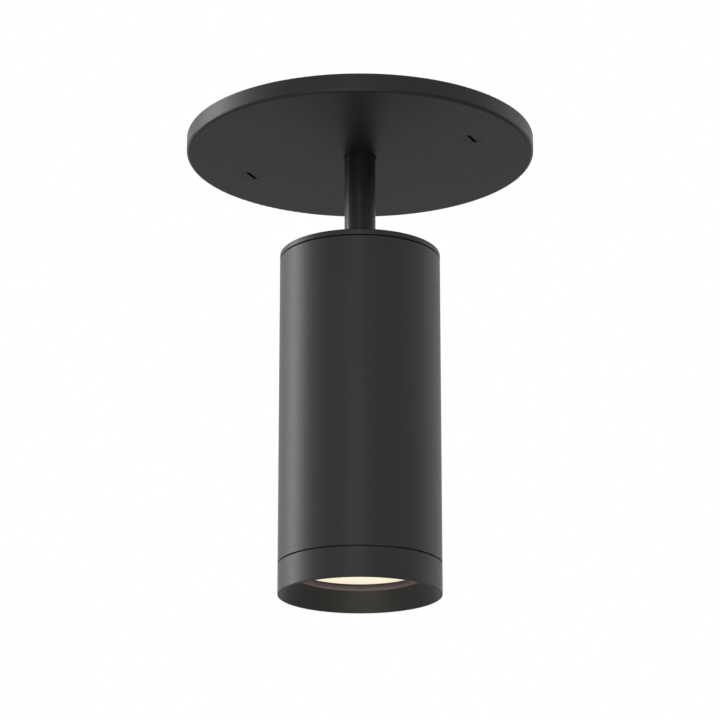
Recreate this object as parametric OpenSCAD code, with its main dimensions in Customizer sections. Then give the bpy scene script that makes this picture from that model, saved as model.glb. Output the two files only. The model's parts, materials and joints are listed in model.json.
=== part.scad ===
// Retractable ceiling spotlight. Millimetres, +Z up, origin on the ceiling plane at the canopy's centre.
// X runs through the two canopy screws. The head's slot, towards which its top tilts, faces +Y.

/* [Canopy] */
// Outer diameter of the canopy
canopy_d = 127; // [118:1:160]
// Height of the canopy below the ceiling
canopy_h = 6.6; // [6.3:0.1:9]
// Thickness of the canopy's side wall
canopy_wall = 2; // [1.5:0.1:2.5]
// Thickness of the canopy's face
canopy_face_t = 2; // [1.6:0.1:2.4]
// Radius of the canopy's lower outer edge
canopy_edge_r = 1.2; // [0.4:0.1:1.4]
// Height of the boss under the mounting flange
centre_boss_t = 1.2; // [0.8:0.1:1.5]
// Distance between the two canopy screws
screw_spacing = 88.9; // [80:0.1:96]
// Outer diameter of the canopy screw thread
canopy_screw_d = 4.16; // [3.4:0.01:4.8]
// Diameter of the relieved neck that keeps the canopy screw captive
canopy_neck_d = 3; // [2:0.1:3.2]
// Length of the canopy screw below its head
canopy_screw_len = 16; // [12:0.5:25]
// Diameter of the canopy screw head
canopy_head_d = 7; // [6.4:0.1:8.4]
// Height of the canopy screw head
canopy_head_h = 2.6; // [2:0.1:3]
// Width of the screwdriver slot
driver_slot_w = 1.2; // [0.8:0.1:1.5]
// Diameter of the earth screw
earth_screw_d = 4; // [3:0.1:5]

/* [Stem mount] */
// Diameter of the mounting flange on the canopy
mount_flange_d = 42; // [38:0.5:46]
// Thickness of the mounting flange
mount_flange_t = 1.8; // [1.5:0.1:2.5]
// Wall of the hub that holds the stem
hub_wall = 4; // [3:0.1:5]
// Height of the hub above the flange
hub_h = 5.5; // [5:0.1:8]

/* [Stem] */
// Outer diameter of the stem
stem_d = 11.3; // [11:0.1:12]
// Wall of the stem
stem_wall = 1.2; // [1.1:0.05:1.35]
// Length of stem that shows when it is pulled out
stem_drop = 38.2; // [34:0.1:50]
// Least gap between the canopy and the corner of the tilted head when the stem is pushed in
corner_clear = 0.7; // [0.5:0.1:6]
// Outer diameter of the inner tube
inner_d = 6; // [5.4:0.1:6.2]
// Wall of the inner tube
inner_wall = 0.75; // [0.5:0.05:1]
// Length of the guide bush inside the stem
bush_len = 10; // [6:0.5:12]
// Height of the stop collar on the inner tube
collar_h = 9; // [5:0.5:10.5]
// Width of the key on the stop collar
key_w = 2; // [1.5:0.1:3]
// Radius of the lead entry at the top of the stem
entry_r = 2.8; // [2:0.1:3.2]

/* [Swivel] */
// Width of the stem flange outside the inner tube
flange_rim = 2; // [1.7:0.05:3]
// Height of the stop lug above the stem flange's edge
lug_out = 0.9; // [0.7:0.1:1.5]
// Wall of the knuckle around its cup
cup_wall = 2.45; // [1.8:0.05:3.5]
// Depth of the two flats on the knuckle
flat_depth = 1.8; // [1:0.1:2]
// Thickness of the friction washer and of the pivot friction discs
friction_t = 0.8; // [0.5:0.1:1.2]
// Height of a loaded disc spring
spring_t = 0.8; // [0.6:0.1:1.2]
// Height of the stem flange
stem_flange_h = 2.5; // [2:0.1:4]
// Length of thread on the swivel nut
nut_thread_h = 3.5; // [3:0.1:6]
// Diameter of the shoulder on the pivot screws
shoulder_d = 5; // [4.4:0.1:6]

/* [Head] */
// Outer diameter of the head
head_d = 58; // [57:0.5:66]
// Length of the head from cap to rim
head_len = 126.2; // [122:0.2:170]
// Wall of the body tube
head_wall = 2; // [1.6:0.1:2.4]
// Thickness of the top cap
cap_t = 2; // [1.8:0.1:3]
// Height of the shadow lines under the cap and above the bezel
seam_h = 0.3; // [0.2:0.05:0.6]
// Depth of the shadow lines
seam_depth = 0.8; // [0.4:0.1:1]
// Width of the slot that the stem swings through
slot_w = 12.6; // [12.4:0.1:14]
// Thickness of the bracket ears
ear_t = 2.5; // [2:0.1:3.5]
// Radius of the bracket ears
ear_r = 7; // [6:0.1:7.4]
// Thickness of the bracket base
bracket_base_t = 2.5; // [2:0.1:3.5]
// Thickness of the bulkhead
bulkhead_t = 2; // [1.5:0.1:3]

/* [Heatsink] */
// Thickness of the heatsink base
sink_base_t = 5; // [4:0.1:6]
// Air gap between the bulkhead and the fins
air_gap = 6; // [2:0.5:12]
// Thickness of a fin
fin_t = 1.2; // [0.8:0.1:1.4]
// Number of fins
fin_count = 24; // [12:12:24]

/* [Optics] */
// Side of the square LED board
led_w = 19; // [16:0.1:20]
// Diameter of the LED's light emitting surface
emitter_d = 12.8; // [9:0.1:15]
// Height of the LED holder
holder_h = 3.5; // [3.2:0.1:5]
// Height of the reflector
reflector_h = 11.1; // [9:0.1:14]
// Thickness of the diffuser lens
lens_t = 1.5; // [1:0.1:3]
// Width of the lens edge that rests on the bezel
lens_lap = 1.6; // [1:0.1:1.8]
// Height of the bezel that shows
bezel_h = 10.8; // [10:0.1:16]
// Width of the baffle cone
cone_w = 5.6; // [4:0.1:8]
// Depth of the baffle cone
cone_depth = 6.9; // [5:0.1:7.4]
// Depth of the lens below the rim
lens_depth = 9.3; // [8.4:0.1:9.6]
// Width of the rim at the bottom of the bezel
rim_w = 0.9; // [0.6:0.1:1.5]
// Length of the bezel spigot inside the body tube
spigot_h = 10; // [8:0.1:10.6]

/* [Hidden] */
$fn = 96;

// Finishes
black_paint = "#2d2d2c";
black_matt = "#1f1f1f";
zinc_steel = "#b9bbb8";
dark_steel = "#4a4b4c";
acetal = "#ece8dc";
nitrile = "#1b1b1c";
silicone = "#d9d6d0";
aluminium = "#c4c6c8";
polished = "#e3e5e7";
white_plastic = "#ecebe6";
phosphor = "#f2d45a";
frosted = "#fbf4e2";

// Clearances
eps = 0.05;
fit = 0.03;
running = 0.05;
stem_gap = 0.35;
sliding = 0.2;
drop_in = 0.2;
stop_gap = 0.1;

// Levels of the ceiling body
canopy_r = canopy_d / 2;
z_face = -canopy_h;
z_pan = z_face + canopy_face_t;
z_seat = z_pan + centre_boss_t;
canopy_boss_floor = 2.2;
canopy_boss_r = canopy_head_d / 2 + 2.5;
canopy_boss_top = z_face + canopy_head_h + canopy_boss_floor;
canopy_neck_top = canopy_boss_top + 0.3;
canopy_skin = 1;
head_recess = 0.02;

// Screws of 3 mm and 2.5 mm
m3_r = 1.5;
m3_head_r = 2.6;
m3_head_h = 1.5;
m25_r = 1.25;
m25_head_r = 2.3;
sunk_head_r = 2.8;
socket_depth = 0.9;

// Stem mount
stem_r = stem_d / 2;
mount_flange_r = mount_flange_d / 2;
mount_flange_top = z_seat + mount_flange_t;
hub_r = stem_r + fit + hub_wall;
hub_top = mount_flange_top + hub_h;
hub_root_r = 1;
tube_top = hub_top + 1;
set_screw_z = mount_flange_top + hub_h / 2;
mount_screw_r = (hub_r + mount_flange_r) / 2 + 0.4;
mount_screw_angles = [30, 150, 270];
earth_boss_r = earth_screw_d / 2 + 2;
earth_x = (canopy_boss_r - mount_flange_r - screw_spacing / 2) / 2;
earth_boss_t = 1.6;
earth_head_r = earth_screw_d;
earth_head_h = 2.2;

// Levels of the head from the top
cap_top = z_face - stem_drop;
cap_bottom = cap_top - cap_t;
body_top = cap_bottom - seam_h;
slot_r = slot_w / 2;
head_r = head_d / 2;
bore_r = head_r - head_wall;
seam_r = head_r - seam_depth;
edge_r = 0.3;

// Stem, from its lower end inside the cap upwards
stem_bore_r = stem_r - stem_wall;
stem_lip = 0.5;
stem_end = cap_bottom - stem_lip;
inner_r = inner_d / 2;
inner_bore_r = inner_r - inner_wall;
bush_flange_t = 0.8;

// Travel. The head keeps clear of the canopy when it is pushed in and tilted, to half a millimetre
ear_clear = 0.6;
cup_floor_t = 2;
nut_rim_h = 2;
nut_clear = 0.5;
swivel_h = ear_r + ear_clear + cup_floor_t + spring_t + stem_flange_h + friction_t + nut_thread_h
    + nut_rim_h;
pushed_h = cap_t + stem_lip + bush_flange_t + nut_clear + swivel_h;
tilt_reach = stem_drop + pushed_h - corner_clear;
travel = floor(2 * (sqrt(tilt_reach ^ 2 - head_r ^ 2) - pushed_h)) / 2;

// Guide bush, stop collar and upper end of the stem
bush_top = stem_end + bush_len;
ring_wire_r = 0.45;
ring_centre_r = stem_bore_r - ring_wire_r - 0.05;
ring_z = stem_end + bush_len / 2;
collar_z = bush_top + stop_gap;
collar_top = collar_z + collar_h;
collar_r = stem_bore_r - sliding;
key_h = 3;
key_out = stem_bore_r + 0.4;
keyway_r = key_out + sliding;
grommet_lip = 1;
grommet_len = 4;
grommet_wall = 0.6;
inner_top = collar_top - grommet_lip;
entry_z = collar_top + travel + stop_gap;
entry_plate_t = 1.2;

// Radii of the swivel, from the inner tube outwards
flange_root_r = inner_r + flange_rim;
flange_r = flange_root_r + lug_out;
cup_r = flange_r + 0.3;
knuckle_r = cup_r + cup_wall;
flat_x = knuckle_r - flat_depth;

// Levels of the swivel, counted up from the tilt axis
pivot_z = cap_top - pushed_h - travel;
neck_z = pivot_z + ear_r + ear_clear;
cup_z = neck_z + cup_floor_t;
flange_z = cup_z + spring_t;
flange_top = flange_z + stem_flange_h;
washer_top = flange_top + friction_t;
neck_top = washer_top + nut_thread_h;
nut_top = neck_top + nut_rim_h;
lug_w = 1.2;
pin_r = 0.6;
pin_z = flange_z + stem_flange_h / 2;

// Tilt axle along X
disc_x = flat_x + friction_t;
ear_x = disc_x + ear_t;
screw_head_x = ear_x + spring_t;
shoulder_r = shoulder_d / 2;
pivot_thread_r = shoulder_r - 0.5;
pivot_head_r = shoulder_r + 1.5;
pivot_head_h = 2.2;
friction_rim = 2.7;

// Bracket and bulkhead
knuckle_clear = 1.5;
base_top = pivot_z - knuckle_r - knuckle_clear;
bulkhead_top = base_top - bracket_base_t;
bulkhead_bottom = bulkhead_top - bulkhead_t;
base_hole_r = 7;
base_screw_angles = [60, 120, 240, 300];
ear_root_r = 1.5;
wire_hole_r = 5.2;
grommet_flange_r = 6.6;
grommet_flange_t = 1;
grommet_bore_r = 3.6;

// Screw ports of the body tube, and the pillars between them
port_r = 3.2;
port_bite = 0.4;
port_c = bore_r + port_bite - port_r;
port_slit = 1.4;
port_angles = [30, 150, 270];
pillar_af = 5;
pillar_r = pillar_af / 2 / cos(30);
pillar_inset = 6;
pillar_c = bore_r - pillar_inset;
base_r = pillar_c - m3_head_r - 0.9;
base_screw_r = base_r - m25_head_r - 0.8;
pillar_angles = [90, 210, 330];
pillar_stud_h = 3.8;
pillar_screw_bite = 6;
port_screw_bite = 8;
holder_screw_bite = 3;

// Levels of the head from the rim up
rim_z = cap_top - head_len;
bezel_top = rim_z + bezel_h;
body_bottom = bezel_top + seam_h;
throat_z = rim_z + cone_depth;
lens_z = rim_z + lens_depth;
lens_top = lens_z + lens_t;
gasket_t = 0.6;
gasket_top = lens_top + gasket_t;
reflector_t = 0.6;
reflector_top = gasket_top + reflector_h;
sink_z = reflector_top + holder_h;
sink_top = sink_z + sink_base_t;
fin_top = bulkhead_bottom - air_gap;
fin_h = fin_top - sink_top;

// Heatsink and LED
sink_r = bore_r - 0.3;
core_r = 6;
fin_r = port_c - port_r - 0.5;
board_t = 1.6;
emitter_t = 0.5;
emitter_r = emitter_d / 2;
holder_r = 17.5;
holder_hole_r = emitter_r + 1.9;
screw_inset = 4.3;
holder_screw_c = led_w / 2 + screw_inset;
lead_hole_r = 0.9;
lead_inset = 4;
lead_c = holder_r - lead_inset;
lead_angles = [180 / fin_count, 180 + 180 / fin_count];

// Optics
aperture_r = head_r - rim_w - cone_w;
lens_r = aperture_r + lens_lap;
pocket_r = lens_r + drop_in;
spigot_r = bore_r - drop_in;
rim_r = head_r - rim_w;
mouth_r = aperture_r - 0.7;
spigot_top = body_bottom + spigot_h;
oring_wire_r = 0.8;
oring_c = bore_r - oring_wire_r - 0.05;
oring_z = body_bottom + spigot_h / 2;
gland_r = oring_c - oring_wire_r - 0.05;
gland_h = 2 * oring_wire_r + 0.4;

// A disc between two levels
module disc(r, z0, z1) {
    translate([0, 0, z0]) cylinder(r = r, h = z1 - z0);
}

// A ring between two levels
module ring(r_out, r_in, z0, z1) {
    difference() {
        disc(r_out, z0, z1);
        disc(r_in, z0 - 1, z1 + 1);
    }
}

// A cylinder along X between two places
module rod_x(r, x0, x1) {
    translate([x0, 0, 0]) rotate([0, 90, 0]) cylinder(r = r, h = x1 - x0);
}

// What is cut away to round an outside corner of a profile, which lies at the origin, body to +x +y
module corner_cut(r) {
    difference() {
        translate([-eps, -eps]) square(r + eps);
        translate([r, r]) circle(r);
    }
}

// A torus
module wire_ring(centre_r, wire_r, z) {
    translate([0, 0, z]) rotate_extrude() translate([centre_r, 0]) circle(wire_r, $fn = 32);
}

// Copies on a circle
module around(angles, r) {
    for (a = angles) rotate(a) translate([r, 0, 0]) children();
}

// A pan-head screw that points down: under its head at the origin
module pan_screw(r, len, head_r, head_h) {
    difference() {
        union() {
            disc(r, -len, eps);
            rotate_extrude() difference() {
                square([head_r, head_h]);
                translate([head_r, head_h]) rotate(180) corner_cut(0.5);
            }
        }
        translate([0, 0, head_h - 0.7]) cylinder(r = r * 0.8, h = 2, $fn = 6);
    }
}

// A countersunk screw that points down, its head's face at the origin
module sunk_screw(r, head_r, len) {
    difference() {
        union() {
            disc(r, -len, -eps);
            translate([0, 0, r - head_r]) cylinder(r1 = r, r2 = head_r, h = head_r - r);
        }
        translate([0, 0, -socket_depth]) cylinder(r = r * 0.75, h = 2, $fn = 6);
    }
}

// The hole that a countersunk screw sits in
module sunk_hole(r, head_r, depth) {
    disc(r + fit, -depth, eps);
    translate([0, 0, r - head_r]) cylinder(r1 = r + fit, r2 = head_r + fit, h = head_r - r);
    disc(head_r + fit, -eps / 5, 1);
}

// A disc spring, small edge down
module cone_washer(r_out, r_in, h) {
    sheet = h * 0.6;
    rotate_extrude() polygon([[r_in, 0], [r_in + 0.3, 0], [r_out, h - sheet], [r_out, h],
        [r_out - 0.3, h], [r_in, sheet]]);
}

// Ceiling body

module canopy_profile() {
    difference() {
        translate([0, z_face]) square([canopy_r, canopy_h]);
        difference() {
            translate([-1, z_pan]) square([canopy_r - canopy_wall + 1, canopy_h]);
            translate([canopy_r - canopy_wall, z_pan]) mirror([1, 0]) corner_cut(canopy_edge_r);
        }
        translate([canopy_r, z_face]) mirror([1, 0]) corner_cut(canopy_edge_r);
        translate([canopy_r, 0]) rotate(180) corner_cut(edge_r);
    }
}

module canopy() {
    color(black_paint) difference() {
        union() {
            rotate_extrude() canopy_profile();
            disc(mount_flange_r + 1, z_pan - eps, z_seat);
            around([0, 180], screw_spacing / 2)
                disc(canopy_boss_r, z_pan - eps, canopy_boss_top);
            translate([earth_x, 0, 0]) disc(earth_boss_r, z_pan - eps, z_pan + earth_boss_t);
        }
        disc(stem_r + stem_gap, z_face - 1, z_seat + 1);
        around([0, 180], screw_spacing / 2) {
            disc(canopy_head_d / 2 + 0.1, z_face - 1, z_face + canopy_head_h);
            disc(canopy_screw_d / 2 + 0.15, z_face, 1);
        }
        around(mount_screw_angles, mount_screw_r)
            disc(m3_r + fit, z_face + canopy_skin - 0.2, z_seat + 1);
        translate([earth_x, 0, 0])
            disc(earth_screw_d / 2 + fit, z_face + canopy_skin - 0.2, z_pan + earth_boss_t + 1);
    }
}

module canopy_screws() {
    color(black_matt) around([0, 180], screw_spacing / 2) difference() {
        union() {
            disc(canopy_neck_d / 2, z_face + canopy_head_h - eps, canopy_neck_top + eps);
            disc(canopy_screw_d / 2, canopy_neck_top, z_face + canopy_head_h + canopy_screw_len);
            disc(canopy_head_d / 2, z_face + head_recess, z_face + canopy_head_h);
        }
        translate([-driver_slot_w / 2, -canopy_head_d, z_face - 1])
            cube([driver_slot_w, 2 * canopy_head_d, canopy_head_h / 2 + 0.9]);
    }
}

module stem_mount() {
    color(aluminium) difference() {
        rotate_extrude() difference() {
            union() {
                translate([stem_r + fit, z_seat]) square([hub_wall, hub_top - z_seat]);
                translate([stem_r + fit, z_seat])
                    square([mount_flange_r - stem_r - fit, mount_flange_t]);
                translate([hub_r - eps, mount_flange_top - eps]) square(hub_root_r + eps);
            }
            translate([hub_r + hub_root_r, mount_flange_top + hub_root_r]) circle(hub_root_r);
            translate([hub_r, hub_top]) rotate(180) corner_cut(0.6);
        }
        around(mount_screw_angles, mount_screw_r)
            disc(m3_r + 0.15, z_seat - 1, mount_flange_top + 1);
        translate([0, 0, set_screw_z]) rod_x(m25_r + fit, -hub_r - 1, hub_r + 1);
    }
}

module mount_screws() {
    color(zinc_steel) around(mount_screw_angles, mount_screw_r)
        translate([0, 0, mount_flange_top])
            pan_screw(m3_r, mount_flange_top - z_face - canopy_skin, m3_head_r, m3_head_h);
}

module hub_set_screws() {
    color(dark_steel) translate([0, 0, set_screw_z]) for (s = [0, 180]) rotate(s) difference() {
        rod_x(m25_r, stem_r, hub_r - 0.3);
        translate([hub_r - 1.3, 0, 0]) rotate([0, 90, 0]) cylinder(r = 0.7, h = 2, $fn = 6);
    }
}

module stem_tube() {
    color(black_paint) difference() {
        ring(stem_r, stem_bore_r, stem_end, tube_top);
        translate([-key_w / 2 - sliding, 0, collar_z - 1])
            cube([key_w + 2 * sliding, keyway_r, tube_top - collar_z + 2]);
    }
}

module guide_bush() {
    groove_h = 2 * ring_wire_r + 0.3;
    color(acetal) difference() {
        union() {
            disc(stem_bore_r - fit, stem_end - eps, bush_top);
            disc(stem_r, stem_end - bush_flange_t, stem_end);
        }
        disc(inner_r + running, stem_end - bush_flange_t - 1, bush_top + 1);
        ring(stem_bore_r + 1, ring_centre_r - ring_wire_r - fit,
            ring_z - groove_h / 2, ring_z + groove_h / 2);
        for (a = [45, 135]) rotate(a)
            translate([-stem_r - 1, -0.3, ring_z - groove_h / 2 - 0.8])
                cube([2 * stem_r + 2, 0.6, bush_len]);
    }
}

module bush_tension_ring() {
    color(nitrile) wire_ring(ring_centre_r, ring_wire_r, ring_z);
}

module stem_entry_bush() {
    color(white_plastic) difference() {
        union() {
            disc(stem_bore_r - fit, entry_z, tube_top + eps);
            rotate_extrude() difference() {
                translate([0, tube_top]) square([stem_r, entry_plate_t]);
                translate([stem_r, tube_top + entry_plate_t]) rotate(180) corner_cut(0.5);
            }
        }
        disc(entry_r, entry_z - 1, tube_top + entry_plate_t + 1);
    }
}

module earth_screw() {
    color(zinc_steel) translate([earth_x, 0, z_pan + earth_boss_t])
        pan_screw(earth_screw_d / 2, earth_boss_t + canopy_face_t - canopy_skin,
            earth_head_r, earth_head_h);
}

// Stem body

module inner_tube() {
    color(zinc_steel) ring(inner_r, inner_bore_r, flange_z, inner_top);
}

module stop_collar() {
    color(zinc_steel) difference() {
        union() {
            disc(collar_r, collar_z, collar_top);
            translate([-key_w / 2, 0, collar_z]) cube([key_w, key_out, key_h]);
        }
        disc(inner_r + fit, collar_z - 1, collar_top + 1);
    }
}

module lead_grommet() {
    color(nitrile) difference() {
        union() {
            disc(inner_r, inner_top, inner_top + grommet_lip);
            disc(inner_bore_r - fit, inner_top - grommet_len, inner_top + eps);
        }
        disc(inner_bore_r - grommet_wall, inner_top - grommet_len - 1, inner_top + grommet_lip + 1);
    }
}

module stem_flange() {
    color(zinc_steel) difference() {
        union() {
            disc(flange_root_r, flange_z, flange_top);
            intersection() {
                disc(flange_r, flange_z, flange_top);
                translate([-lug_w / 2, -flange_r - 1, flange_z]) cube([lug_w, flange_r, stem_flange_h]);
            }
        }
        disc(inner_r + fit, flange_z - 1, flange_top + 1);
    }
}

// Swivel body

module swivel_knuckle() {
    color(dark_steel) difference() {
        union() {
            disc(knuckle_r, neck_z, neck_top);
            intersection() {
                disc(knuckle_r, pivot_z - knuckle_r, neck_z + eps);
                translate([-flat_x, -knuckle_r, pivot_z - knuckle_r])
                    cube([2 * flat_x, 2 * knuckle_r, 3 * knuckle_r]);
                union() {
                    translate([0, 0, pivot_z]) rod_x(knuckle_r, -knuckle_r, knuckle_r);
                    disc(2 * knuckle_r, pivot_z, neck_z + eps);
                }
            }
        }
        disc(cup_r, cup_z, neck_top + 1);
        disc(inner_bore_r, pivot_z - knuckle_r - 1, cup_z + 1);
        translate([0, 0, pivot_z]) rod_x(pivot_thread_r + fit, -knuckle_r, knuckle_r);
        translate([0, 0, pin_z]) rotate(90) rod_x(pin_r + fit, 0, knuckle_r + 1);
    }
}

module swivel_nut() {
    color(dark_steel) difference() {
        union() {
            disc(cup_r - fit, washer_top, neck_top + eps);
            rotate_extrude() difference() {
                translate([0, neck_top]) square([knuckle_r, nut_rim_h]);
                translate([knuckle_r, nut_top]) rotate(180) corner_cut(0.6);
            }
        }
        disc(inner_r + running, washer_top - 1, nut_top + 1);
        around([0, 90, 180, 270], (knuckle_r + inner_r) / 2) disc(0.9, nut_top - 1.5, nut_top + 1);
    }
}

module swivel_friction_washer() {
    color(acetal) ring(flange_r, inner_r + stem_gap, flange_top, washer_top);
}

module swivel_disc_spring() {
    color(zinc_steel) translate([0, 0, cup_z]) cone_washer(flange_r, inner_bore_r + 0.6, spring_t);
}

module pan_stop_pin() {
    color(zinc_steel) translate([0, 0, pin_z]) rotate(90)
        rod_x(pin_r, flange_root_r + 0.2, knuckle_r - 0.2);
}

module pivot_screws() {
    color(dark_steel) translate([0, 0, pivot_z]) for (s = [0, 180]) rotate(s) difference() {
        union() {
            rod_x(pivot_thread_r, inner_bore_r + 0.3, flat_x + eps);
            rod_x(shoulder_r, flat_x, screw_head_x + eps);
            rod_x(pivot_head_r, screw_head_x, screw_head_x + pivot_head_h);
        }
        translate([screw_head_x + pivot_head_h - 1.4, 0, 0]) rotate([0, 90, 0])
            cylinder(r = shoulder_r * 0.6, h = 2, $fn = 6);
    }
}

module pivot_friction_discs() {
    color(acetal) translate([0, 0, pivot_z]) for (s = [0, 180]) rotate(s) difference() {
        rod_x(shoulder_r + friction_rim, flat_x, disc_x);
        rod_x(shoulder_r + running, flat_x - 1, disc_x + 1);
    }
}

module pivot_disc_springs() {
    color(zinc_steel) translate([0, 0, pivot_z]) for (s = [0, 180]) rotate(s)
        translate([ear_x, 0, 0]) rotate([0, 90, 0])
            cone_washer(shoulder_r + 2.1, shoulder_r + running, spring_t);
}

// Head body

// What the stem needs to swing from the middle of the cap to the rear
module swing_slot(z0, z1) {
    disc(slot_r, z0, z1);
    translate([-slot_r, 0, z0]) cube([slot_w, head_r + 1, z1 - z0]);
}

module port_profile() {
    intersection() {
        circle(head_r - 0.5);
        around(port_angles, port_c) difference() {
            circle(port_r, $fn = 48);
            circle(m3_r + fit, $fn = 48);
            translate([-port_r - 1, -port_slit / 2]) square([port_r + 1, port_slit]);
        }
    }
}

module body_tube() {
    color(black_paint) difference() {
        union() {
            rotate_extrude() difference() {
                translate([bore_r, body_bottom]) square([head_wall, body_top - body_bottom]);
                translate([head_r, body_bottom]) mirror([1, 0]) corner_cut(edge_r);
                translate([head_r, body_top]) rotate(180) corner_cut(edge_r);
            }
            translate([0, 0, sink_top]) linear_extrude(body_top - sink_top) port_profile();
        }
        translate([-slot_r, 0, pivot_z]) cube([slot_w, head_r + 1, head_len]);
        translate([0, 0, pivot_z]) rotate(90) rod_x(slot_r, 0, head_r + 1);
    }
}

module top_cap() {
    spigot_t = 1.5;
    spigot_len = 2;
    color(black_paint) difference() {
        union() {
            rotate_extrude() difference() {
                translate([0, cap_bottom]) square([head_r, cap_t]);
                translate([head_r, cap_bottom]) mirror([1, 0]) corner_cut(edge_r);
                translate([head_r, cap_top]) rotate(180) corner_cut(edge_r);
            }
            disc(seam_r, body_top, cap_bottom + eps);
            difference() {
                ring(spigot_r, spigot_r - spigot_t, body_top - spigot_len, body_top + eps);
                around(port_angles, port_c)
                    disc(port_r + sliding, body_top - spigot_len - 1, body_top);
            }
        }
        swing_slot(body_top - spigot_len - 1, cap_top + 1);
        around(port_angles, port_c) translate([0, 0, cap_top])
            sunk_hole(m3_r, sunk_head_r, cap_t + seam_h + 1);
    }
}

module cap_screws() {
    color(black_matt) around(port_angles, port_c)
        translate([0, 0, cap_top - head_recess])
            sunk_screw(m3_r, sunk_head_r, port_screw_bite + cap_t);
}

module pivot_bracket() {
    color(zinc_steel) difference() {
        union() {
            disc(base_r, bulkhead_top, base_top);
            for (s = [0, 180]) rotate(s) {
                translate([disc_x, -ear_r, base_top - eps])
                    cube([ear_t, 2 * ear_r, pivot_z - base_top + eps]);
                translate([0, 0, pivot_z]) rod_x(ear_r, disc_x, ear_x);
                translate([ear_x - eps, ear_r, base_top - eps]) rotate([90, 0, 0])
                    linear_extrude(2 * ear_r) difference() {
                        square(ear_root_r + eps);
                        translate([ear_root_r + eps, ear_root_r + eps]) circle(ear_root_r);
                    }
            }
        }
        translate([0, 0, pivot_z]) rod_x(shoulder_r + running, -ear_x - 1, ear_x + 1);
        disc(base_hole_r, bulkhead_top - 1, base_top + 1);
        around(base_screw_angles, base_screw_r) translate([0, 0, base_top])
            sunk_hole(m25_r, m25_head_r, bracket_base_t + 1);
    }
}

module bracket_screws() {
    color(zinc_steel) around(base_screw_angles, base_screw_r) translate([0, 0, base_top - head_recess])
        sunk_screw(m25_r, m25_head_r, bracket_base_t + bulkhead_t - 0.1);
}

module bulkhead() {
    color(aluminium) difference() {
        disc(spigot_r, bulkhead_bottom, bulkhead_top);
        around(port_angles, port_c) disc(port_r + 0.3, bulkhead_bottom - 1, bulkhead_top + 1);
        disc(wire_hole_r, bulkhead_bottom - 1, bulkhead_top + 1);
        around(base_screw_angles, base_screw_r)
            disc(m25_r + fit, bulkhead_bottom - 1, bulkhead_top + 1);
        around(pillar_angles, pillar_c) disc(m3_r + 0.15, bulkhead_bottom - 1, bulkhead_top + 1);
    }
}

module bulkhead_grommet() {
    color(nitrile) difference() {
        union() {
            disc(wire_hole_r - fit, bulkhead_bottom - eps, bulkhead_top + eps);
            disc(grommet_flange_r, bulkhead_top, bulkhead_top + grommet_flange_t);
            disc(grommet_flange_r, bulkhead_bottom - grommet_flange_t, bulkhead_bottom);
        }
        disc(grommet_bore_r, bulkhead_bottom - 2, bulkhead_top + 2);
    }
}

module pillars() {
    color(zinc_steel) around(pillar_angles, pillar_c) difference() {
        union() {
            translate([0, 0, sink_top]) cylinder(r = pillar_r, h = bulkhead_bottom - sink_top, $fn = 6);
            disc(m3_r, sink_top - pillar_stud_h, sink_top + eps);
        }
        disc(m3_r + fit, bulkhead_bottom - 1.5 * pillar_screw_bite, bulkhead_bottom + 1);
    }
}

module pillar_screws() {
    color(zinc_steel) around(pillar_angles, pillar_c) translate([0, 0, bulkhead_top])
        pan_screw(m3_r, bulkhead_t + pillar_screw_bite, m3_head_r, m3_head_h);
}

module heatsink() {
    color(black_matt) difference() {
        union() {
            disc(sink_r, sink_z, sink_top);
            disc(core_r, sink_top - eps, fin_top);
            intersection() {
                disc(fin_r, sink_top - eps, fin_top);
                for (i = [0 : fin_count / 2 - 1]) rotate(i * 360 / fin_count)
                    translate([-fin_r - 1, -fin_t / 2, sink_top - eps])
                        cube([2 * fin_r + 2, fin_t, fin_h + eps]);
            }
        }
        around(pillar_angles, pillar_c) {
            disc(pillar_r + 0.6, sink_top, fin_top + 1);
            disc(m3_r + fit, sink_z + 1, sink_top + 1);
        }
        around(port_angles, port_c) disc(m3_r + 0.15, sink_z - 1, sink_top + 1);
        around([90, 270], holder_screw_c) disc(m3_r + fit, sink_z - 1, sink_z + holder_screw_bite + 0.6);
        around(lead_angles, lead_c) disc(lead_hole_r, sink_z - 1, sink_top + 1);
    }
}

module heatsink_screws() {
    color(zinc_steel) around(port_angles, port_c) translate([0, 0, sink_z]) mirror([0, 0, 1])
        pan_screw(m3_r, sink_base_t + port_screw_bite, m3_head_r, m3_head_h);
}

module led_board() {
    color(white_plastic) translate([-led_w / 2, -led_w / 2, sink_z - board_t])
        cube([led_w, led_w, board_t]);
}

module led_emitter() {
    color(phosphor) disc(emitter_r, sink_z - board_t - emitter_t, sink_z - board_t);
}

module led_holder() {
    color(white_plastic) difference() {
        rotate_extrude() difference() {
            translate([0, reflector_top]) square([holder_r, holder_h]);
            translate([holder_r, reflector_top]) mirror([1, 0]) corner_cut(0.8);
        }
        translate([-led_w / 2 - 0.1, -led_w / 2 - 0.1, sink_z - board_t - 0.1])
            cube([led_w + 0.2, led_w + 0.2, board_t + 1]);
        disc(holder_hole_r, reflector_top - 1, sink_z + 1);
        around([90, 270], holder_screw_c) translate([0, 0, reflector_top]) mirror([0, 0, 1])
            sunk_hole(m3_r, sunk_head_r, holder_h + 1);
        around(lead_angles, lead_c) disc(lead_hole_r, reflector_top - 1, sink_z + 1);
    }
}

module holder_screws() {
    color(zinc_steel) around([90, 270], holder_screw_c)
        translate([0, 0, reflector_top + head_recess]) mirror([0, 0, 1])
            sunk_screw(m3_r, sunk_head_r, holder_h + holder_screw_bite);
}

// A parabola from the holder opening to the mouth, t from 0 to 1
function dish_r(t) = sqrt(holder_hole_r ^ 2 + (mouth_r ^ 2 - holder_hole_r ^ 2) * t);
function dish_z(t) = reflector_top - t * (reflector_h - reflector_t);
dish_steps = 12;

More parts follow.
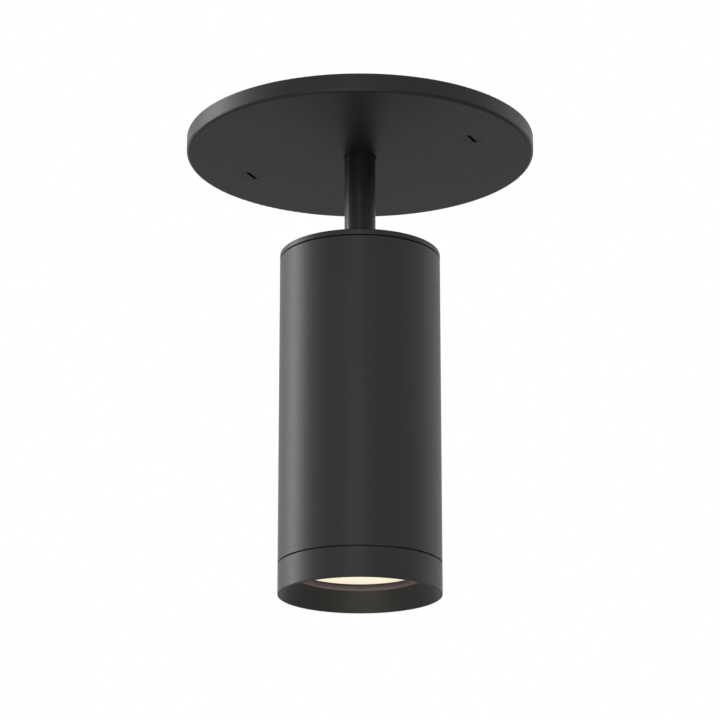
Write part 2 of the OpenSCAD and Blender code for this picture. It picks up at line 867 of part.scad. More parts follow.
module reflector() {
    inner = [for (i = [0 : dish_steps]) [dish_r(i / dish_steps), dish_z(i / dish_steps)]];
    outer = [for (i = [dish_steps : -1 : 0])
        [dish_r(i / dish_steps) + reflector_t, dish_z(i / dish_steps)]];
    color(polished) rotate_extrude() union() {
        polygon(concat(inner, outer));
        translate([mouth_r, gasket_top]) square([lens_r - mouth_r, reflector_t]);
    }
}

module lens_gasket() {
    color(silicone) ring(lens_r, mouth_r + 0.4, lens_top, gasket_top);
}

module diffuser_lens() {
    color(frosted) disc(lens_r, lens_z, lens_top);
}

module bezel() {
    color(black_paint) rotate_extrude() difference() {
        polygon([[aperture_r, lens_z], [pocket_r, lens_z], [pocket_r, spigot_top],
            [spigot_r, spigot_top], [spigot_r, body_bottom], [seam_r, body_bottom],
            [seam_r, bezel_top], [head_r, bezel_top], [head_r, rim_z], [rim_r, rim_z],
            [aperture_r, throat_z]]);
        translate([head_r, rim_z]) mirror([1, 0]) corner_cut(edge_r);
        translate([head_r, bezel_top]) rotate(180) corner_cut(edge_r);
        translate([gland_r, oring_z - gland_h / 2]) square([bore_r - gland_r, gland_h]);
    }
}

module bezel_oring() {
    color(nitrile) wire_ring(oring_c, oring_wire_r, oring_z);
}

canopy();
canopy_screws();
stem_mount();
mount_screws();
hub_set_screws();
stem_tube();
guide_bush();
bush_tension_ring();
stem_entry_bush();
earth_screw();
inner_tube();
stop_collar();
lead_grommet();
stem_flange();
swivel_knuckle();
swivel_nut();
swivel_friction_washer();
swivel_disc_spring();
pan_stop_pin();
pivot_screws();
pivot_friction_discs();
pivot_disc_springs();
body_tube();
top_cap();
cap_screws();
pivot_bracket();
bracket_screws();
bulkhead();
bulkhead_grommet();
pillars();
pillar_screws();
heatsink();
heatsink_screws();
led_board();
led_emitter();
led_holder();
holder_screws();
reflector();
lens_gasket();
diffuser_lens();
bezel();
bezel_oring();
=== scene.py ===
"""Looks of the retractable ceiling spotlight, in metres, in the frame of its solids."""

import json
import math

import bpy
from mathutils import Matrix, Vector


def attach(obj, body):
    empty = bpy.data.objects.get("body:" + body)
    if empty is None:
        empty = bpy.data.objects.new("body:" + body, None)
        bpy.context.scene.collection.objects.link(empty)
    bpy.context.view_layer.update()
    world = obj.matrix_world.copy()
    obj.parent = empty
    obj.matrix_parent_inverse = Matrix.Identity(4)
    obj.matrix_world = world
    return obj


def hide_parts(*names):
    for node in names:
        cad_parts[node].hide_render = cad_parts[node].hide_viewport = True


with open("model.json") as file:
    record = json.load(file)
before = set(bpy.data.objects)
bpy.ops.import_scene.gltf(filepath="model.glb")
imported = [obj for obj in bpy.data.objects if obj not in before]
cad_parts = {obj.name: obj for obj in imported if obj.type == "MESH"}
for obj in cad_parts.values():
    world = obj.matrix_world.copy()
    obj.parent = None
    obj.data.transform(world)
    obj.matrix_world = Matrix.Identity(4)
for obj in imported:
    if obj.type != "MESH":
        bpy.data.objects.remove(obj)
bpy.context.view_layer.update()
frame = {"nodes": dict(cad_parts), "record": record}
nodes = frame["nodes"]
scene = bpy.context.scene

# Sizes of the object, in metres, as the solids have them
MM = 0.001
LENS_GLOW_R = 17 * MM  # of the lens's lit face
LENS_GLOW_Z = -161.9 * MM  # just below the lens
# inside this radius the bezel's colour is a painted reflection of the lens's warm light
THROAT_EDGE_R = 22.55 * MM  # the bezel's throat, with a hair's breadth of its cone
SCREW_X = 44.45 * MM  # half the spacing of the canopy screws
HEAD_R, HEAD_FACE_Z, HEAD_BACK_Z = 3.5 * MM, -6.58 * MM, -4.0 * MM  # head of a canopy screw
SLOT_WIDTH, SLOT_DEPTH = 1.35 * MM, 1.18 * MM
NECK_R, THREAD_R, THREAD_ROOT_R = 1.5 * MM, 2.08 * MM, 1.6 * MM
THREAD_PITCH = 25.4 / 32 * MM  # 8-32: 32 turns to the inch
THREAD_LOW_Z, THREAD_TOP_Z = -1.5 * MM, 12 * MM
NECK_SUNK, WELD = 0.2 * MM, 0.3 * MM  # how far the neck runs into the head and into the thread

# The studio
FLOOR_Z, FLOOR_R = -1.45, 9.0
FADE_START_R = 6.0  # where the floor starts to fade into the white surround
DAYLIGHT = 0.55

# Camera, daylight and floor

def photo_camera():
    """A long lens below the light, a little to its right, which looks up at it."""
    data = bpy.data.cameras.new("photo_camera")
    data.lens, data.sensor_width = 148.9, 36.0
    data.clip_start, data.clip_end = 0.05, 60.0
    camera = bpy.data.objects.new("photo_camera", data)
    camera.location = (0.4245, -0.9272, -0.4062)
    camera.rotation_euler = (math.radians(90 + 17.51), 0, math.radians(24.6))
    scene.collection.objects.link(camera)
    scene.camera = camera


def softbox(name, bearing, height, distance, width, tall, radiance, colour="#ffffff"):
    """A diffused studio lamp on a stand, aimed at the spotlight. Its bearing is counted from +X to +Y."""
    data = bpy.data.lights.new(name, "AREA")
    data.shape, data.size, data.size_y = "RECTANGLE", width, tall
    data.energy = radiance * math.pi * width * tall
    data.color = srgb(colour)[:3]
    lamp = bpy.data.objects.new(name, data)
    turn = math.radians(bearing)
    lamp.location = (distance * math.cos(turn), distance * math.sin(turn), height)
    aim = Vector((0, 0, -0.08)) - lamp.location
    lamp.rotation_euler = aim.to_track_quat("-Z", "Y").to_euler()
    lamp.visible_camera = False
    scene.collection.objects.link(lamp)


def lens_glow():
    """The light that leaves the lens, which rides with the head and falls on the cone around it."""
    data = bpy.data.lights.new("lens_glow", "AREA")
    data.shape, data.size = "DISK", 2 * LENS_GLOW_R
    radiance = 9.0
    data.energy = radiance * math.pi * math.pi * LENS_GLOW_R ** 2
    data.color = srgb("#fbe6dc")[:3]
    lamp = bpy.data.objects.new("lens_glow", data)
    lamp.location = (0, 0, LENS_GLOW_Z)
    lamp.visible_camera = False
    scene.collection.objects.link(lamp)
    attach(lamp, "head")


def srgb(code):
    """Linear colour of an sRGB hex code."""
    parts = [int(code[i:i + 2], 16) / 255 for i in (1, 3, 5)]
    return [p / 12.92 if p <= 0.04045 else ((p + 0.055) / 1.055) ** 2.4 for p in parts] + [1.0]


def add(tree, kind, inputs=None, **settings):
    """Adds a node, sets its settings, and sets or links its inputs."""
    node = tree.nodes.new(kind)
    for name, value in settings.items():
        setattr(node, name, value)
    for name, value in (inputs or {}).items():
        if isinstance(value, bpy.types.NodeSocket):
            tree.links.new(value, node.inputs[name])
        else:
            node.inputs[name].default_value = value
    return node


def seen_directly(tree):
    """1 for what the camera sees, straight or in gloss or glass, and 0 for light that falls on the object."""
    path = add(tree, "ShaderNodeLightPath")
    either = add(tree, "ShaderNodeMath", {0: path.outputs["Is Camera Ray"], 1: path.outputs["Is Glossy Ray"]},
                 operation="MAXIMUM")
    return add(tree, "ShaderNodeMath", {0: either.outputs[0], 1: path.outputs["Is Transmission Ray"]},
               operation="MAXIMUM").outputs[0]


def white_room():
    """A white surround that the camera sees, and an even grey daylight that the object gets."""
    world = bpy.data.worlds.new("white_room")
    world.use_nodes = True
    tree = world.node_tree
    tree.nodes.clear()
    daylight = add(tree, "ShaderNodeBackground", {"Color": (DAYLIGHT, DAYLIGHT, DAYLIGHT, 1),
                                                  "Strength": 1.0})
    white = add(tree, "ShaderNodeBackground", {"Color": (1, 1, 1, 1), "Strength": 1.0})
    both = add(tree, "ShaderNodeMixShader", {0: seen_directly(tree), 1: daylight.outputs[0],
                                             2: white.outputs[0]})
    add(tree, "ShaderNodeOutputWorld", {"Surface": both.outputs[0]})
    scene.world = world


def studio_floor():
    """A pale floor far below the light, which fades into the white surround."""
    bpy.ops.object.select_all(action="DESELECT")
    bpy.ops.mesh.primitive_circle_add(vertices=96, radius=FLOOR_R, fill_type="NGON",
                                      location=(0, 0, FLOOR_Z))
    floor = bpy.context.object
    floor.name = "studio_floor"
    mat = bpy.data.materials.new("pale_grey_studio_vinyl_rolled")
    mat.use_nodes = True
    tree = mat.node_tree
    vinyl = tree.nodes["Principled BSDF"]
    vinyl.inputs["Base Color"].default_value = srgb("#d8d8d6")
    vinyl.inputs["Roughness"].default_value = 0.8
    place = add(tree, "ShaderNodeTexCoord").outputs["Object"]
    reach = add(tree, "ShaderNodeVectorMath", {0: place}, operation="LENGTH").outputs["Value"]
    fade = add(tree, "ShaderNodeMapRange", {"Value": reach, "From Min": FADE_START_R, "From Max": FLOOR_R},
               interpolation_type="SMOOTHSTEP").outputs[0]
    share = add(tree, "ShaderNodeMath", {0: fade, 1: seen_directly(tree)}, operation="MULTIPLY").outputs[0]
    white = add(tree, "ShaderNodeEmission", {"Color": (1, 1, 1, 1), "Strength": 1.0})
    both = add(tree, "ShaderNodeMixShader", {0: share, 1: vinyl.outputs[0], 2: white.outputs[0]})
    tree.links.new(both.outputs[0], tree.nodes["Material Output"].inputs["Surface"])
    floor.data.materials.append(mat)


photo_camera()
white_room()
studio_floor()
softbox("left_softbox", bearing=189.6, height=0.28, distance=1.2, width=0.43, tall=1.6, radiance=7.1)
softbox("front_fill", bearing=287.6, height=0.1, distance=1.4, width=0.4, tall=0.7, radiance=1.8)
softbox("low_front_fill", bearing=284.6, height=-0.75, distance=1.4, width=0.6, tall=0.6, radiance=4.2)
softbox("rear_right_strip", bearing=49.6, height=0.28, distance=1.2, width=0.22, tall=1.6, radiance=0.7)
softbox("warm_floor_bounce", bearing=284.6, height=-1.1, distance=0.5, width=0.9, tall=0.6, radiance=1.5,
        colour="#fff3d8")
lens_glow()
scene.view_settings.view_transform = "Standard"


# Finishes. A pattern's scale is one over its size in metres

def surface(name, **sockets):
    """A new material, its surface shader's constants, and the place on the piece that patterns read."""
    mat = bpy.data.materials.new(name)
    mat.use_nodes = True
    tree = mat.node_tree
    shader = tree.nodes["Principled BSDF"]
    for socket, value in sockets.items():
        shader.inputs[socket.replace("_", " ")].default_value = value
    place = add(tree, "ShaderNodeTexCoord").outputs["Object"]
    return mat, tree, shader, place


def powder_coat(name, ior, throat=None):
    """Polyester powder baked on aluminium: an even matt black with a soft sheen. The faint orange peel, a
    millimetre across, spreads a highlight into a broad band. A throat colour, when given, is painted round
    the
    lens: a reddish brown that stands for the lens's warm light reflected on the black paint of the bezel's
    throat."""
    mat, tree, coat, place = surface(name, IOR=ior)
    cloud = add(tree, "ShaderNodeTexNoise", {"Vector": place, "Scale": 1 / (16 * MM), "Detail": 2.0})
    tone = add(tree, "ShaderNodeMix", {"Factor": cloud.outputs["Fac"], "A": srgb("#101010"),
                                       "B": srgb("#131312")}, data_type="RGBA")
    if throat:
        # Painted reflection: within THROAT_EDGE_R the colour turns to the throat colour, a reddish brown that
        # stands for the lens's warm light on the black paint
        flat = add(tree, "ShaderNodeVectorMath", {0: place, 1: (1, 1, 0)}, operation="MULTIPLY")
        reach = add(tree, "ShaderNodeVectorMath", {0: flat.outputs["Vector"]}, operation="LENGTH")
        lens_reflection_mask = add(tree, "ShaderNodeMath", {0: reach.outputs["Value"], 1: THROAT_EDGE_R},
                      operation="LESS_THAN")
        tone = add(tree, "ShaderNodeMix", {"Factor": lens_reflection_mask.outputs[0], "A": tone.outputs["Result"],
                                           "B": srgb(throat)}, data_type="RGBA")
    tree.links.new(tone.outputs["Result"], coat.inputs["Base Color"])
    flow = add(tree, "ShaderNodeTexNoise", {"Vector": place, "Scale": 1 / (3 * MM), "Detail": 3.0})
    gloss = add(tree, "ShaderNodeMapRange", {"Value": flow.outputs["Fac"], "From Min": 0.3, "From Max": 0.7,
                                             "To Min": 0.435, "To Max": 0.465})
    tree.links.new(gloss.outputs["Result"], coat.inputs["Roughness"])
    peel = add(tree, "ShaderNodeTexNoise", {"Vector": place, "Scale": 1 / (1 * MM), "Detail": 1.0})
    relief = add(tree, "ShaderNodeBump", {"Height": peel.outputs["Fac"], "Distance": 0.01 * MM,
                                          "Strength": 1.0})
    tree.links.new(relief.outputs["Normal"], coat.inputs["Normal"])
    return mat


def satin_enamel():
    """Black enamel sprayed on the steel stem and baked: smoother than the powder, so that its highlights are
    narrow bands with clear dark between them, over a faint long flow of the wet film."""
    mat, tree, enamel, place = surface("satin_black_enamel_sprayed_and_baked", IOR=1.35)
    cloud = add(tree, "ShaderNodeTexNoise", {"Vector": place, "Scale": 1 / (10 * MM), "Detail": 2.0})
    tone = add(tree, "ShaderNodeMix", {"Factor": cloud.outputs["Fac"], "A": srgb("#0e0e0e"),
                                       "B": srgb("#121211")}, data_type="RGBA")
    tree.links.new(tone.outputs["Result"], enamel.inputs["Base Color"])
    stretched = add(tree, "ShaderNodeMapping", {"Vector": place, "Scale": (1, 1, 0.2)})
    flow = add(tree, "ShaderNodeTexNoise", {"Vector": stretched.outputs["Vector"], "Scale": 1 / (1.2 * MM),
                                            "Detail": 1.0})
    gloss = add(tree, "ShaderNodeMapRange", {"Value": flow.outputs["Fac"], "From Min": 0.3, "From Max": 0.7,
                                             "To Min": 0.35, "To Max": 0.4})
    tree.links.new(gloss.outputs["Result"], enamel.inputs["Roughness"])
    relief = add(tree, "ShaderNodeBump", {"Height": flow.outputs["Fac"], "Distance": 0.004 * MM})
    tree.links.new(relief.outputs["Normal"], enamel.inputs["Normal"])
    return mat


def black_oxide():
    """Steel turned and blackened in hot salts, then oiled: about as dull as the paint, with a fine grain and
    cloudy brownish patches."""
    mat, tree, steel, place = surface("black_oxide_steel_turned", IOR=1.36)
    cloud = add(tree, "ShaderNodeTexNoise", {"Vector": place, "Scale": 1 / (2.5 * MM), "Detail": 3.0})
    tone = add(tree, "ShaderNodeMix", {"Factor": cloud.outputs["Fac"], "A": srgb("#0f0f11"),
                                       "B": srgb("#161412")}, data_type="RGBA")
    tree.links.new(tone.outputs["Result"], steel.inputs["Base Color"])
    gloss = add(tree, "ShaderNodeMapRange", {"Value": cloud.outputs["Fac"], "To Min": 0.42, "To Max": 0.52})
    tree.links.new(gloss.outputs["Result"], steel.inputs["Roughness"])
    grain = add(tree, "ShaderNodeTexNoise", {"Vector": place, "Scale": 1 / (0.3 * MM), "Detail": 2.0})
    relief = add(tree, "ShaderNodeBump", {"Height": grain.outputs["Fac"], "Distance": 0.006 * MM})
    tree.links.new(relief.outputs["Normal"], steel.inputs["Normal"])
    return mat


def zinc_plate():
    """Steel plated with bright zinc and passivated: silver with a pale blue and straw shift, and a fine
    crystal mottle that breaks up its reflections."""
    mat, tree, zinc, place = surface("clear_passivated_zinc_plate_on_steel", Metallic=1.0)
    shift = add(tree, "ShaderNodeTexNoise", {"Vector": place, "Scale": 1 / (6 * MM), "Detail": 2.0})
    tone = add(tree, "ShaderNodeMix", {"Factor": shift.outputs["Fac"], "A": srgb("#b3bac0"),
                                       "B": srgb("#c0bcb0")}, data_type="RGBA")
    tree.links.new(tone.outputs["Result"], zinc.inputs["Base Color"])
    crystal = add(tree, "ShaderNodeTexVoronoi", {"Vector": place, "Scale": 1 / (0.5 * MM)})
    gloss = add(tree, "ShaderNodeMapRange", {"Value": crystal.outputs["Distance"], "To Min": 0.28,
                                             "To Max": 0.42})
    tree.links.new(gloss.outputs["Result"], zinc.inputs["Roughness"])
    relief = add(tree, "ShaderNodeBump", {"Height": crystal.outputs["Distance"], "Distance": 0.003 * MM})
    tree.links.new(relief.outputs["Normal"], zinc.inputs["Normal"])
    return mat


def turned_aluminium():
    """Aluminium turned on a lathe and left bare: pale grey metal whose tool marks run round the axis on its
    walls and its faces. They are drawn 0.9 mm apart, coarser than real ones, so that they show."""
    mat, tree, metal, place = surface("aluminium_6060_turned_bare", Metallic=1.0)
    walls = add(tree, "ShaderNodeTexWave", {"Vector": place, "Scale": math.pi / 10 / (0.9 * MM),
                                            "Distortion": 0.4, "Detail": 1.0}, bands_direction="Z")
    faces = add(tree, "ShaderNodeTexWave", {"Vector": place, "Scale": math.pi / 10 / (0.9 * MM),
                                            "Distortion": 0.4, "Detail": 1.0}, wave_type="RINGS",
                rings_direction="Z")
    marks = add(tree, "ShaderNodeMath", {0: walls.outputs["Fac"], 1: faces.outputs["Fac"]}, operation="ADD")
    relief = add(tree, "ShaderNodeBump", {"Height": marks.outputs[0], "Distance": 0.006 * MM})
    tree.links.new(relief.outputs["Normal"], metal.inputs["Normal"])
    cloud = add(tree, "ShaderNodeTexNoise", {"Vector": place, "Scale": 1 / (5 * MM), "Detail": 3.0})
    tone = add(tree, "ShaderNodeMix", {"Factor": cloud.outputs["Fac"], "A": srgb("#bfc1c3"),
                                       "B": srgb("#cccdcd")}, data_type="RGBA")
    tree.links.new(tone.outputs["Result"], metal.inputs["Base Color"])
    gloss = add(tree, "ShaderNodeMapRange", {"Value": cloud.outputs["Fac"], "To Min": 0.28, "To Max": 0.4})
    tree.links.new(gloss.outputs["Result"], metal.inputs["Roughness"])
    return mat


def black_anodised():
    """Aluminium machined and dyed black in the anodising bath: a dry dark grey with a metal sheen at its
    edges and the cutter's fine lines."""
    mat, tree, metal, place = surface("black_anodised_aluminium_machined", Metallic=0.6)
    cloud = add(tree, "ShaderNodeTexNoise", {"Vector": place, "Scale": 1 / (8 * MM), "Detail": 2.0})
    tone = add(tree, "ShaderNodeMix", {"Factor": cloud.outputs["Fac"], "A": srgb("#1f1f22"),
                                       "B": srgb("#28272a")}, data_type="RGBA")
    tree.links.new(tone.outputs["Result"], metal.inputs["Base Color"])
    gloss = add(tree, "ShaderNodeMapRange", {"Value": cloud.outputs["Fac"], "To Min": 0.42, "To Max": 0.55})
    tree.links.new(gloss.outputs["Result"], metal.inputs["Roughness"])
    lines = add(tree, "ShaderNodeTexWave", {"Vector": place, "Scale": math.pi / 10 / (0.5 * MM),
                                            "Distortion": 0.6, "Detail": 1.0}, bands_direction="Z")
    relief = add(tree, "ShaderNodeBump", {"Height": lines.outputs["Fac"], "Distance": 0.004 * MM})
    tree.links.new(relief.outputs["Normal"], metal.inputs["Normal"])
    return mat


def spun_reflector():
    """High-purity aluminium spun over a former and brightened: near a mirror, with faint spinning rings."""
    mat, tree, mirror, place = surface("aluminium_spun_and_brightened", Metallic=1.0,
                                       Base_Color=srgb("#e4e6e7"))
    rings = add(tree, "ShaderNodeTexWave", {"Vector": place, "Scale": math.pi / 10 / (0.6 * MM),
                                            "Distortion": 0.5, "Detail": 1.0}, bands_direction="Z")
    relief = add(tree, "ShaderNodeBump", {"Height": rings.outputs["Fac"], "Distance": 0.002 * MM})
    tree.links.new(relief.outputs["Normal"], mirror.inputs["Normal"])
    haze = add(tree, "ShaderNodeTexNoise", {"Vector": place, "Scale": 1 / (4 * MM), "Detail": 2.0})
    gloss = add(tree, "ShaderNodeMapRange", {"Value": haze.outputs["Fac"], "To Min": 0.08, "To Max": 0.16})
    tree.links.new(gloss.outputs["Result"], mirror.inputs["Roughness"])
    return mat


def turned_acetal():
    """Natural acetal turned from rod: waxy off-white, slightly see-through at its edges, with fine turning
    marks."""
    mat, tree, plastic, place = surface("acetal_natural_turned", IOR=1.48, Subsurface_Weight=0.15,
                                        Subsurface_Radius=(1.0, 0.9, 0.7), Subsurface_Scale=1 * MM)
    cloud = add(tree, "ShaderNodeTexNoise", {"Vector": place, "Scale": 1 / (7 * MM), "Detail": 2.0})
    tone = add(tree, "ShaderNodeMix", {"Factor": cloud.outputs["Fac"], "A": srgb("#e9e4d5"),
                                       "B": srgb("#efebe0")}, data_type="RGBA")
    tree.links.new(tone.outputs["Result"], plastic.inputs["Base Color"])
    gloss = add(tree, "ShaderNodeMapRange", {"Value": cloud.outputs["Fac"], "To Min": 0.34, "To Max": 0.44})
    tree.links.new(gloss.outputs["Result"], plastic.inputs["Roughness"])
    marks = add(tree, "ShaderNodeTexWave", {"Vector": place, "Scale": math.pi / 10 / (0.25 * MM),
                                            "Distortion": 0.3, "Detail": 1.0}, wave_type="RINGS",
                rings_direction="Z")
    relief = add(tree, "ShaderNodeBump", {"Height": marks.outputs["Fac"], "Distance": 0.003 * MM})
    tree.links.new(relief.outputs["Normal"], plastic.inputs["Normal"])
    return mat


def moulded_rubber(name, dark, light, dull):
    """Rubber moulded in a blasted tool: a soft matt skin with a dusty bloom in patches."""
    mat, tree, rubber, place = surface(name, IOR=1.5)
    bloom = add(tree, "ShaderNodeTexNoise", {"Vector": place, "Scale": 1 / (4 * MM), "Detail": 4.0})
    tone = add(tree, "ShaderNodeMix", {"Factor": bloom.outputs["Fac"], "A": srgb(dark), "B": srgb(light)},
               data_type="RGBA")
    tree.links.new(tone.outputs["Result"], rubber.inputs["Base Color"])
    gloss = add(tree, "ShaderNodeMapRange", {"Value": bloom.outputs["Fac"], "To Min": dull - 0.08,
                                             "To Max": dull + 0.08})
    tree.links.new(gloss.outputs["Result"], rubber.inputs["Roughness"])
    skin = add(tree, "ShaderNodeTexNoise", {"Vector": place, "Scale": 1 / (0.25 * MM), "Detail": 2.0})
    relief = add(tree, "ShaderNodeBump", {"Height": skin.outputs["Fac"], "Distance": 0.008 * MM})
    tree.links.new(relief.outputs["Normal"], rubber.inputs["Normal"])
    return mat


def moulded_white():
    """White polycarbonate injected in a spark-eroded tool: a fine even grain, satin, faintly translucent."""
    mat, tree, plastic, place = surface("white_polycarbonate_injection_moulded", IOR=1.58,
                                        Subsurface_Weight=0.1, Subsurface_Radius=(1.0, 0.95, 0.85),
                                        Subsurface_Scale=0.8 * MM)
    cloud = add(tree, "ShaderNodeTexNoise", {"Vector": place, "Scale": 1 / (12 * MM), "Detail": 1.0})
    tone = add(tree, "ShaderNodeMix", {"Factor": cloud.outputs["Fac"], "A": srgb("#e6e4dd"),
                                       "B": srgb("#ebe9e4")}, data_type="RGBA")
    tree.links.new(tone.outputs["Result"], plastic.inputs["Base Color"])
    grain = add(tree, "ShaderNodeTexVoronoi", {"Vector": place, "Scale": 1 / (0.3 * MM)},
                feature="SMOOTH_F1")
    gloss = add(tree, "ShaderNodeMapRange", {"Value": grain.outputs["Distance"], "To Min": 0.42,
                                             "To Max": 0.56})
    tree.links.new(gloss.outputs["Result"], plastic.inputs["Roughness"])
    relief = add(tree, "ShaderNodeBump", {"Height": grain.outputs["Distance"], "Distance": 0.01 * MM})
    tree.links.new(relief.outputs["Normal"], plastic.inputs["Normal"])
    return mat


def alumina_board():
    """Sintered white alumina with a fired glaze: a dense white with grey specks and a slight shine."""
    mat, tree, board, place = surface("alumina_ceramic_sintered", IOR=1.76)
    speck = add(tree, "ShaderNodeTexNoise", {"Vector": place, "Scale": 1 / (0.4 * MM), "Detail": 3.0})
    ramp = add(tree, "ShaderNodeMapRange", {"Value": speck.outputs["Fac"], "From Min": 0.62, "From Max": 0.7})
    tone = add(tree, "ShaderNodeMix", {"Factor": ramp.outputs["Result"], "A": srgb("#eeeeea"),
                                       "B": srgb("#d9d8d3")}, data_type="RGBA")
    tree.links.new(tone.outputs["Result"], board.inputs["Base Color"])
    gloss = add(tree, "ShaderNodeMapRange", {"Value": speck.outputs["Fac"], "To Min": 0.3, "To Max": 0.5})
    tree.links.new(gloss.outputs["Result"], board.inputs["Roughness"])
    return mat


def phosphor_silicone():
    """Silicone cast over the diodes and loaded with yellow phosphor: a grainy egg yellow with a wet shine."""
    mat, tree, gel, place = surface("phosphor_loaded_silicone_cast", IOR=1.41, Roughness=0.25)
    grain = add(tree, "ShaderNodeTexNoise", {"Vector": place, "Scale": 1 / (0.3 * MM), "Detail": 3.0})
    tone = add(tree, "ShaderNodeMix", {"Factor": grain.outputs["Fac"], "A": srgb("#efcf45"),
                                       "B": srgb("#f6de74")}, data_type="RGBA")
    tree.links.new(tone.outputs["Result"], gel.inputs["Base Color"])
    relief = add(tree, "ShaderNodeBump", {"Height": grain.outputs["Fac"], "Distance": 0.01 * MM})
    tree.links.new(relief.outputs["Normal"], gel.inputs["Normal"])
    return mat


def opal_acrylic():
    """Acrylic cast with an opal filler and frosted: lit from behind, it glows an even warm white, and its
    fine frost hides the diodes."""
    mat, tree, lens, place = surface("opal_acrylic_cast_and_frosted", IOR=1.49,
                                     Emission_Color=srgb("#fff0d4"), Emission_Strength=0.44)
    frost = add(tree, "ShaderNodeTexNoise", {"Vector": place, "Scale": 1 / (0.3 * MM), "Detail": 2.0})
    tone = add(tree, "ShaderNodeMix", {"Factor": frost.outputs["Fac"], "A": srgb("#f4ecd9"),
                                       "B": srgb("#f9f2e3")}, data_type="RGBA")
    tree.links.new(tone.outputs["Result"], lens.inputs["Base Color"])
    gloss = add(tree, "ShaderNodeMapRange", {"Value": frost.outputs["Fac"], "To Min": 0.5, "To Max": 0.65})
    tree.links.new(gloss.outputs["Result"], lens.inputs["Roughness"])
    relief = add(tree, "ShaderNodeBump", {"Height": frost.outputs["Fac"], "Distance": 0.01 * MM})
    tree.links.new(relief.outputs["Normal"], lens.inputs["Normal"])
    return mat


finishes = {
    "black_paint": powder_coat("matt_black_polyester_powder_coat_baked", 1.4),
    "black_oxide": black_oxide(),
    "zinc_steel": zinc_plate(),
    "acetal": turned_acetal(),
    "nitrile": moulded_rubber("nitrile_rubber_moulded", "#19191a", "#222222", 0.62),
    "silicone": moulded_rubber("silicone_rubber_moulded", "#d3cec6", "#dcd8d1", 0.68),
    "plain_aluminium": turned_aluminium(),
    "black_anodised": black_anodised(),
    "white_plastic": moulded_white(),
    "led_ceramic": alumina_board(),
    "phosphor": phosphor_silicone(),
    "reflector_metal": spun_reflector(),
    "opal_lens": opal_acrylic(),
}
slot_of = {part["node"]: part["material_slot"] for part in frame["record"]["subparts"]}
node_finishes = {name: finishes[slot_of[name]] for name in nodes}
node_finishes["canopy"] = powder_coat("thin_matt_black_powder_coat_on_spun_sheet", 1.36)
# The bezel's throat colour #241c20 is a painted reflection of the lens's warm light on the black paint
node_finishes["bezel"] = powder_coat("matt_black_powder_coat_round_bronze_anodised_throat", 1.4,
                                     throat="#241c20")
node_finishes["stem_tube"] = satin_enamel()
for name, node in nodes.items():
    for material_slot in node.material_slots:
        material_slot.material = node_finishes[name]


# Canopy screws. The solids draw their thread as a plain cylinder; these have the real one. A screw is made
# on the Z axis and then moved to its place

def rod(radius, low, high, sides=64):
    """A round blank on the Z axis."""
    bpy.ops.object.select_all(action="DESELECT")
    bpy.ops.mesh.primitive_cylinder_add(vertices=sides, radius=radius, depth=high - low,
                                        location=(0, 0, (low + high) / 2))
    bpy.ops.object.transform_apply(location=True)
    return bpy.context.object


def finish_with(blank, kind, **settings):
    """Adds a modifier to the blank, sets it and applies it."""
    step = blank.modifiers.new(kind.lower(), kind)
    for name, value in settings.items():
        setattr(step, name, value)
    bpy.ops.object.select_all(action="DESELECT")
    bpy.context.view_layer.objects.active = blank
    bpy.ops.object.modifier_apply(modifier=step.name)


def combine(blank, tool, operation):
    """Welds the tool to the blank, cuts it out of it, or keeps what they share, and clears the tool away."""
    finish_with(blank, "BOOLEAN", operation=operation, object=tool, solver="EXACT")
    bpy.data.objects.remove(tool)


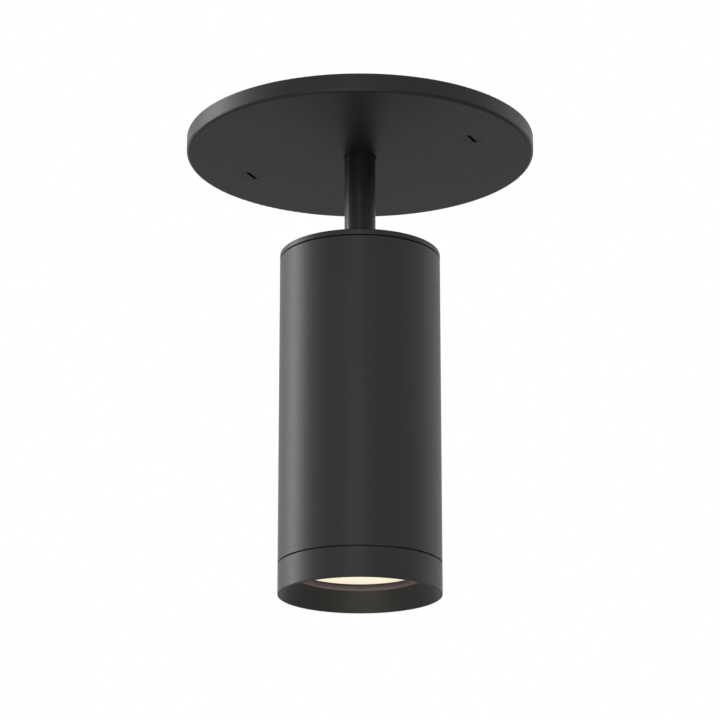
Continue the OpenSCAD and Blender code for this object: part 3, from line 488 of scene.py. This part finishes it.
def thread(outer_r, root_r, pitch, low, high):
    """A shank with a 60 degree thread, whose ends are flat and chamfered. A triangle, its point outwards, is
    swept up a helix and welded to a core, and an outer envelope trims its crests."""
    bpy.ops.object.select_all(action="DESELECT")
    sunk = 0.14 * MM
    height = outer_r - root_r + sunk
    middle = (outer_r - 2 / 3 * height, 0, low - pitch)
    bpy.ops.mesh.primitive_circle_add(vertices=3, radius=2 / 3 * height, location=middle,
                                      rotation=(math.pi / 2, 0, 0))
    ridge = bpy.context.object
    bpy.ops.object.transform_apply(location=True, rotation=True)
    bpy.ops.object.mode_set(mode="EDIT")
    bpy.ops.mesh.select_all(action="SELECT")
    bpy.ops.transform.rotate(value=-math.pi / 2, orient_axis="Y", center_override=middle)
    bpy.ops.object.mode_set(mode="OBJECT")
    turns, steps = math.ceil((high - low) / pitch) + 2, 36
    finish_with(ridge, "SCREW", axis="Z", screw_offset=pitch, iterations=turns, steps=steps,
                render_steps=steps)
    bpy.ops.object.mode_set(mode="EDIT")
    bpy.ops.mesh.select_all(action="SELECT")
    bpy.ops.mesh.fill_holes(sides=0)
    bpy.ops.mesh.select_all(action="SELECT")
    bpy.ops.mesh.normals_make_consistent(inside=False)
    bpy.ops.object.mode_set(mode="OBJECT")
    shank = rod(root_r, low - 2 * pitch, high + 2 * pitch)
    combine(shank, ridge, "UNION")
    crest_trim, chamfer = 0.01 * MM, 0.5 * MM
    envelope = rod(outer_r - crest_trim, low, high)
    finish_with(envelope, "BEVEL", width=chamfer, segments=1, limit_method="ANGLE", angle_limit=math.pi / 4)
    combine(shank, envelope, "INTERSECT")
    return shank


def canopy_screw():
    """A slotted cheese head, flush in the canopy, on a relieved neck and an 8-32 thread."""
    head = rod(HEAD_R, HEAD_FACE_Z, HEAD_BACK_Z, sides=96)
    bpy.ops.object.select_all(action="DESELECT")
    bpy.ops.mesh.primitive_cube_add(size=1)
    blade = bpy.context.object
    bpy.ops.object.mode_set(mode="EDIT")
    bpy.ops.transform.resize(value=(SLOT_WIDTH, 2 * HEAD_R + 1 * MM, 2 * SLOT_DEPTH))
    bpy.ops.transform.translate(value=(0, 0, HEAD_FACE_Z))
    bpy.ops.object.mode_set(mode="OBJECT")
    combine(head, blade, "DIFFERENCE")
    broken_edge = 0.06 * MM
    finish_with(head, "BEVEL", width=broken_edge, segments=2, limit_method="ANGLE", angle_limit=math.pi / 4)
    combine(head, rod(NECK_R, HEAD_BACK_Z - NECK_SUNK, THREAD_LOW_Z + WELD), "UNION")
    combine(head, thread(THREAD_R, THREAD_ROOT_R, THREAD_PITCH, THREAD_LOW_Z, THREAD_TOP_Z), "UNION")
    bpy.ops.object.select_all(action="DESELECT")
    head.select_set(True)
    bpy.context.view_layer.objects.active = head
    bpy.ops.object.shade_smooth_by_angle(angle=math.radians(20))
    head.name = "canopy_screw_right"
    return head


right_screw = canopy_screw()
bpy.ops.object.duplicate()
left_screw = bpy.context.object
left_screw.name = "canopy_screw_left"
for screw, x in ((right_screw, SCREW_X), (left_screw, -SCREW_X)):
    bpy.ops.object.select_all(action="DESELECT")
    screw.select_set(True)
    bpy.context.view_layer.objects.active = screw
    screw.location = (x, 0, 0)
    bpy.ops.object.transform_apply(location=True)
    screw.data.materials.append(finishes["black_oxide"])
    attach(screw, "ceiling")
    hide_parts("canopy_screws")
